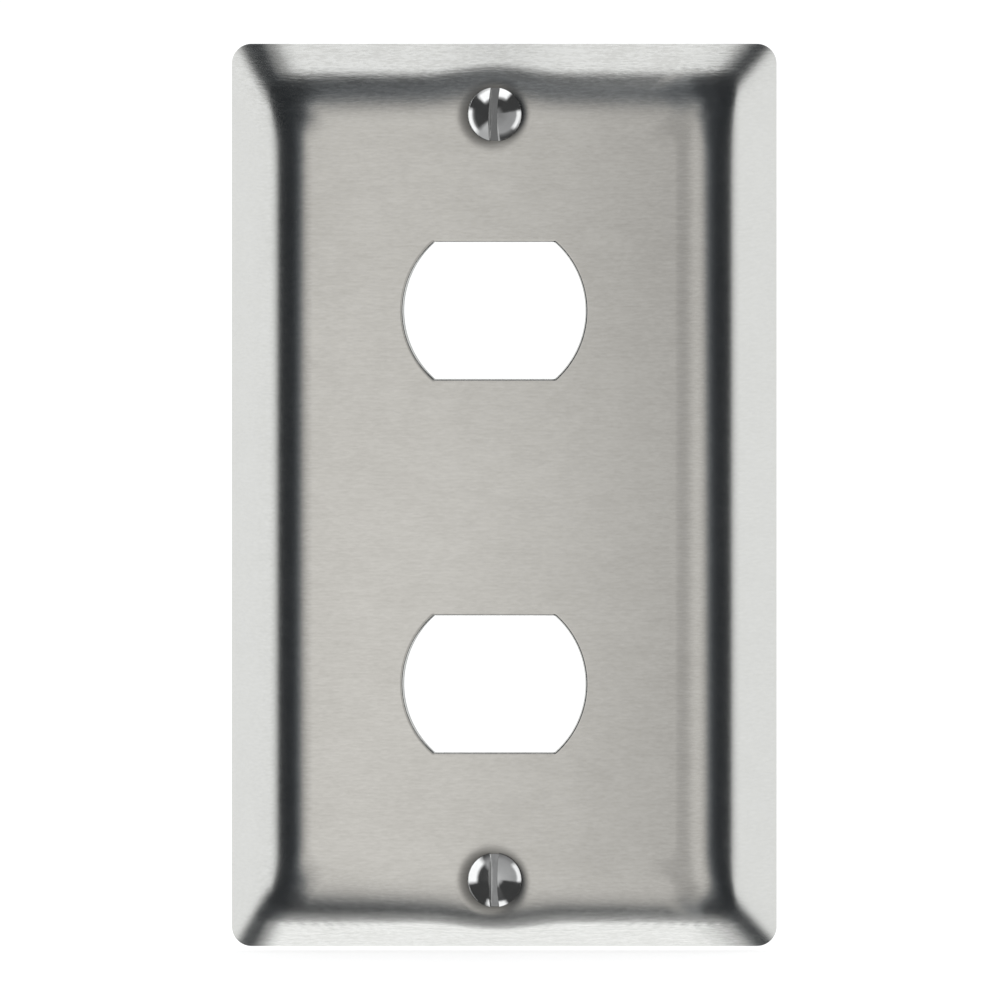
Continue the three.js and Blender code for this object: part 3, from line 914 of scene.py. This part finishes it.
V = k.ramp(fz_, [(along(z), v) for z, v in (
    (-0.87, 0.38), (-0.757, 0.43), (-0.588, 0.48), (-0.48, 0.60), (-0.40, 0.70), (-0.342, 0.77), (-0.294, 0.83),
    (-0.229, 0.89), (-0.16, 0.93), (-0.0536, 0.945), (-0.035, 0.97), (-0.0125, 1.0), (0.0, 0.94), (0.013, 0.845),
    (0.035, 0.84), (0.10, 0.90), (0.134, 0.87), (0.172, 0.78), (0.194, 0.66), (0.217, 0.53), (0.243, 0.41),
    (0.272, 0.31), (0.306, 0.25), (0.36, 0.22), (0.42, 0.26), (0.50, 0.33), (0.60, 0.44), (0.70, 0.52), (0.80, 0.57))])
# the card's corners are cut away in an oval
cz = k.math("ADD", sep.outputs[2], 0.05)
cz = k.math("MAXIMUM", k.math("MULTIPLY", cz, 1 / 0.22), k.math("MULTIPLY", cz, -1 / 0.33))
cx = k.math("MULTIPLY", sep.outputs[0], 1 / 0.16)
rho = k.math("SQRT", k.math("ADD", k.math("MULTIPLY", cx, cx), k.math("MULTIPLY", cz, cz)))
oval = k.ramp(k.math("MULTIPLY", rho, 0.5), [(0.35, 1.1), (0.415, 0.60), (0.475, 0.25), (0.537, 0.11), (0.64, 0.05)])
outer = k.ramp(fx, [(across(x), v) for x, v in ((-0.135, 1.0), (-0.085, 0.0), (0.042, 0.0), (0.088, 1.0))])
hv = k.math("MULTIPLY", H, V)
cut = k.math("MAXIMUM", k.math("SUBTRACT", hv, oval), 0.0)
lum = k.math("MAXIMUM", k.math("SUBTRACT", hv, k.math("MULTIPLY", cut, outer)), 0.034)
# two low panels that light the face when it is seen from either side; they are dark for the main viewpoint
low = k.ramp(fz_, [(along(z), v) for z, v in ((-0.34, 0.0), (-0.26, 1.0), (-0.11, 1.0), (-0.05, 0.0))])
wide = k.ramp(fx, [(across(x), v) for x, v in ((-0.36, 0.3), (-0.31, 0.85), (-0.20, 0.85), (-0.14, 0.0),
                                                (0.14, 0.0), (0.20, 0.80), (0.30, 0.80), (0.36, 0.3))])
elsewhere = k.new("ShaderNodeValue")
elsewhere.name = "elsewhere"
panels = k.math("MAXIMUM", k.math("MULTIPLY", low, wide), 0.22)
lum = k.math("MAXIMUM", lum, k.math("MULTIPLY", panels, elsewhere.outputs[0]))
k.link(lum, em.inputs[1])
warm = k.ramp(k.math("MULTIPLY", lum, 1.0, clamp=True), [(0.05, 0.0), (0.5, 1.0)])
k.link(k.mix(warm, (0.86, 0.97, 1.10, 1), (1.0, 0.985, 0.955, 1)), em.inputs[0])
k.link(em.outputs[0], o.inputs[0])
card.data.materials.append(cm)
unseen(card)


def ball(name, radius, centre=(0, 0, 0), rows=24, cols=48):
    """A closed sphere of quads, seen from inside."""
    v = [(0, 0, radius)]
    for i in range(1, rows):
        a = math.pi * i / rows
        v += [(radius * math.sin(a) * math.cos(2 * math.pi * j / cols),
               radius * math.sin(a) * math.sin(2 * math.pi * j / cols), radius * math.cos(a)) for j in range(cols)]
    v.append((0, 0, -radius))
    f = [(0, 1 + j, 1 + (j + 1) % cols) for j in range(cols)]
    for i in range(rows - 2):
        for j in range(cols):
            q = (j + 1) % cols
            f.append((1 + i * cols + j, 1 + (i + 1) * cols + j, 1 + (i + 1) * cols + q, 1 + i * cols + q))
    last = len(v) - 1
    f += [(last, 1 + (rows - 2) * cols + (j + 1) % cols, 1 + (rows - 2) * cols + j) for j in range(cols)]
    me = bpy.data.meshes.new(name)
    me.from_pydata(v, [], f)
    ob = bpy.data.objects.new(name, me)
    ob.location = centre
    bpy.context.scene.collection.objects.link(ob)
    unseen(ob)
    return ob


def heading(k):
    """Angle from straight ahead of the plate (0 ahead, 1 behind), angle off the horizontal (0 to 1), and up."""
    geo = k.new("ShaderNodeNewGeometry")
    inv = k.new("ShaderNodeVectorMath")
    inv.operation = "SCALE"
    inv.inputs["Scale"].default_value = -1.0
    k.link(geo.outputs["Incoming"], inv.inputs[0])
    sep = k.new("ShaderNodeSeparateXYZ")
    k.link(inv.outputs[0], sep.inputs[0])
    dx, dy, dz = sep.outputs
    psi = k.math("MULTIPLY", k.math("ARCCOSINE", k.math("MULTIPLY", dy, -1.0)), 1 / math.pi)
    eta = k.math("MULTIPLY", k.math("ARCTAN2", k.math("ABSOLUTE", dz), k.math("ABSOLUTE", dx)), 2 / math.pi)
    return psi, eta, dx, dz


# the rest of the tent: tall side panels, a softer one overhead and one below
tent = ball("studio_tent", 12.0)
tm, k, o, em = emitter("studio_tent")
psi, eta, dx, dz = heading(k)
deg = 1 / 180
bulge = k.ramp(eta, [(0.0, 0.0), (0.12, 0.0), (0.20, -1 * deg), (0.30, -4 * deg), (0.42, -7 * deg), (0.5, -8 * deg)])
bulge = k.math("ADD", bulge, k.math("ADD", 1.6 * deg, k.math("MULTIPLY", k.math("GREATER_THAN", dx, 0.0), 2.2 * deg)))
sides = k.ramp(k.math("SUBTRACT", k.math("ADD", psi, bulge), 8 * deg), [((d - 8) * deg, v) for d, v in (
    (8, 0.035), (45, 0.04), (49, 0.057), (53, 0.12), (57, 0.34), (59, 0.62), (61.5, 0.95), (65, 1.12), (69, 1.24),
    (73, 1.20), (120, 1.20), (150, 0.75), (179, 0.5))])
tops = k.ramp(psi, [(0, 0.40), (60 * deg, 0.42), (68 * deg, 0.50), (73 * deg, 0.57), (77 * deg, 0.68), (81 * deg, 1.05),
                    (84 * deg, 1.50), (90 * deg, 1.42), (94 * deg, 1.18), (112 * deg, 1.12), (150 * deg, 0.8), (1, 0.5)])
lows = k.ramp(psi, [(0, 0.40), (75.5 * deg, 0.36), (82 * deg, 0.34), (86.0 * deg, 0.42), (88.0 * deg, 0.54),
                    (89.8 * deg, 0.9), (90.8 * deg, 2.05), (105 * deg, 2.0), (150 * deg, 0.7), (1, 0.5)])
g_side = k.ramp(eta, [(0, 1.0), (0.46, 1.0), (0.555, 0.0), (1, 0.0)])
g_top = k.ramp(eta, [(0, 0.0), (0.66, 0.0), (0.75, 0.4), (0.84, 1.0), (1, 1.0)])
is_up = k.math("GREATER_THAN", dz, 0.0)
vertical = k.math("ADD", k.math("MULTIPLY", tops, is_up), k.math("MULTIPLY", lows, k.math("SUBTRACT", 1.0, is_up)))
lum = k.math("ADD", k.math("MULTIPLY", sides, g_side), k.math("MULTIPLY", vertical, g_top))
lum = k.math("MAXIMUM", lum, 0.05)
# the panels run together behind the plate
behind = k.ramp(psi, [(0, 0.0), (98 * deg, 0.0), (114 * deg, 0.85), (150 * deg, 0.7), (1, 0.5)])
lum = k.math("MAXIMUM", lum, behind)
k.link(lum, em.inputs[1])
k.link(tinted(k, lum), em.inputs[0])
k.link(em.outputs[0], o.inputs[0])
tent.data.materials.append(tm)

# the camera sees plain white behind the object
world = bpy.data.worlds.new("studio")
bpy.context.scene.world = world
world.use_nodes = True
k = Nodes(world.node_tree)
o = k.new("ShaderNodeOutputWorld")
white = k.new("ShaderNodeBackground")
white.inputs[0].default_value = (1, 1, 1, 1)
white.inputs[1].default_value = 1.0
k.link(white.outputs[0], o.inputs[0])

# polished heads pick up small bright panels that the brushed sheet smooths away, so each
# screw has its own little tent, lit for the screw alone
screw_group = bpy.data.collections.new("polished_screws")
sheet_group = bpy.data.collections.new("sheet_and_washers")
bpy.context.scene.collection.children.link(screw_group)
bpy.context.scene.collection.children.link(sheet_group)
for ob in bpy.context.scene.objects:
    if ob.type == "MESH":
        (screw_group if "slotted_screw" in ob.name else sheet_group).objects.link(ob)
for ob in (tent, card):
    ob.light_linking.receiver_collection = sheet_group

# brightness by angle off straight ahead: towards the near edge of the plate, away from it, left, right
HEAD_LIGHT = {
    "upper": (((0, 0.24), (12, 0.18), (20, 0.05), (36, 0.05), (42, 0.40), (47, 1.25), (66, 1.3), (74, 0.5), (80, 0.10), (95, 0.08), (120, 0.5)),
              ((0, 0.24), (20, 0.30), (36, 0.36), (50, 0.38), (57, 0.16), (64, 0.06), (100, 0.08), (130, 0.5)),
              ((0, 0.24), (12, 0.18), (22, 0.05), (60, 0.06), (66, 0.25), (72, 1.2), (86, 1.25), (96, 0.5), (130, 0.5)),
              ((0, 0.24), (14, 0.26), (30, 0.33), (47, 0.36), (51, 1.1), (57, 1.2), (60, 0.3), (64, 0.06), (100, 0.08), (130, 0.5))),
    "lower": (((0, 0.60), (13, 0.50), (22, 0.10), (56, 0.08), (61, 1.1), (72, 1.2), (80, 0.3), (100, 0.1), (120, 0.5)),
              ((0, 0.60), (13, 0.50), (34, 0.42), (52, 0.36), (62, 0.22), (70, 0.08), (100, 0.08), (130, 0.5)),
              ((0, 0.60), (14, 0.48), (24, 0.08), (49, 0.055), (54, 0.7), (58, 1.25), (86, 1.25), (96, 0.5), (130, 0.5)),
              ((0, 0.60), (13, 0.50), (34, 0.42), (46, 0.38), (49, 0.5), (52, 1.1), (57, 1.2), (60, 0.3), (64, 0.06), (100, 0.08), (130, 0.5))),
}
FAR_LEFT = {"upper": 0.75, "lower": 0.0}
for where, zc, up in (("upper", SCREW_Z, 1), ("lower", -SCREW_Z, -1)):
    group = bpy.data.collections.new(where + "_polished")
    bpy.context.scene.collection.children.link(group)
    group.objects.link(bpy.data.objects[where + "_slotted_screw"])
    small = ball(where + "_screw_tent", 0.15, (0, 0, zc * MM))
    small.light_linking.receiver_collection = group
    sm, k, o, em = emitter(where + "_screw_tent")
    psi, eta, dx, dz = heading(k)
    is_near = k.math("GREATER_THAN", k.math("MULTIPLY", dz, float(up)), 0.0)     # towards the near short edge of the plate
    is_left = k.math("LESS_THAN", dx, 0.0)
    near_, far_, left_, right_ = (k.ramp(psi, [(d * deg, v) for d, v in stops] + [(1, 0.4)]) for stops in HEAD_LIGHT[where])
    far_ = k.mix(k.math("MULTIPLY", is_left, FAR_LEFT[where]), far_, (0.62, 0.62, 0.62, 1))
    side = k.mix(is_left, right_, left_)
    dark = k.ramp(psi, [(0, HEAD_LIGHT[where][0][0][1]), (8 * deg, HEAD_LIGHT[where][0][0][1] * 0.8), (17 * deg, 0.055), (100 * deg, 0.05), (1, 0.4)])
    window = [k.ramp(eta, [(0, 0.0), (a, 0.0), (a + 0.09, 1.0), (1, 1.0)]) for a in ((0.62, 0.38) if where == "upper" else (0.78, 0.64))]
    high = k.mix(k.mix(is_left, *window), dark, near_)
    high = k.mix(k.ramp(eta, [(0, 0.0), (0.05, 0.0), (0.14, 1.0), (1, 1.0)]), side, high)
    below = [k.ramp(eta, [(0, 0.0), (a, 0.0), (a + 0.14, 1.0), (1, 1.0)]) for a in ((0.44, 0.36) if where == "upper" else (0.44, 0.44))]
    low_ = k.mix(k.mix(is_left, *below), side, far_)
    lum_ = k.mix(is_near, low_, high)
    sepc = k.new("ShaderNodeSeparateColor")
    k.link(lum_, sepc.inputs[0])
    k.link(sepc.outputs[0], em.inputs[1])
    em.inputs[0].default_value = (0.98, 0.99, 1.0, 1)
    tr = k.new("ShaderNodeBsdfTransparent")
    ad = k.new("ShaderNodeAddShader")
    k.link(em.outputs[0], ad.inputs[0])
    k.link(tr.outputs[0], ad.inputs[1])
    k.link(ad.outputs[0], o.inputs[0])
    small.data.materials.append(sm)

# ---- camera: square on to the plate, but off to the right and a little above it ----------
DIST = 3.0
face_y = -DEPTH * MM
SCALE = 7.91                                   # pixels to a millimetre on the face, in a 1000 pixel frame
TAN_X, TAN_Z = 0.2047, 0.05
cam = bpy.data.cameras.new("camera")
cam_ob = bpy.data.objects.new("camera", cam)
bpy.context.scene.collection.objects.link(cam_ob)
bpy.context.scene.camera = cam_ob
cam.type = "PERSP"
cam.sensor_fit = "HORIZONTAL"
cam.sensor_width = 36
cam.lens = 36 * DIST * 1000 / (1000 / SCALE)
cam.clip_start, cam.clip_end = 0.05, 50
cam_ob.location = (DIST * TAN_X, face_y - DIST, DIST * TAN_Z)
cam_ob.rotation_euler = (math.pi / 2, 0, 0)
# where the face's centre should land, in pixels from the frame's centre
centre_px = (494.0 - 500.0, 497.4 - 500.0)
shift_x = (-DIST * 1000 * TAN_X * SCALE - centre_px[0]) / 1000
shift_y = (-DIST * 1000 * TAN_Z * SCALE + centre_px[1]) / 1000

# the shifted lens belongs to this one viewpoint: a curve over the camera's distance from it brings the shift to nothing
# elsewhere, and brings up the low panels of the card there
mark = bpy.data.objects.new("viewpoint", None)
mark.location = cam_ob.location
bpy.context.scene.collection.objects.link(mark)
panel_path = 'nodes["elsewhere"].outputs[0].default_value'
for owner, path, value, away in ((cam, "shift_x", shift_x, 0.0), (cam, "shift_y", shift_y, 0.0), (cm.node_tree, panel_path, 0.0, 1.0)):
    fc = owner.driver_add(path)
    fc.driver.type = "SUM"
    v = fc.driver.variables.new()
    v.name, v.type = "away", "LOC_DIFF"
    v.targets[0].id, v.targets[1].id = cam_ob, mark
    for mod in list(fc.modifiers):
        fc.modifiers.remove(mod)
    fc.keyframe_points.add(3)
    for i, (at, val) in enumerate(((0.0, value), (0.02, value), (0.05, away))):
        fc.keyframe_points[i].co = (at, val)
        fc.keyframe_points[i].interpolation = "LINEAR"
    fc.extrapolation = "CONSTANT"
    fc.update()

sc = bpy.context.scene
sc.view_settings.view_transform = "Standard"
sc.view_settings.look = "None"
sc.view_settings.exposure = 0.0
sc.view_settings.gamma = 1.0
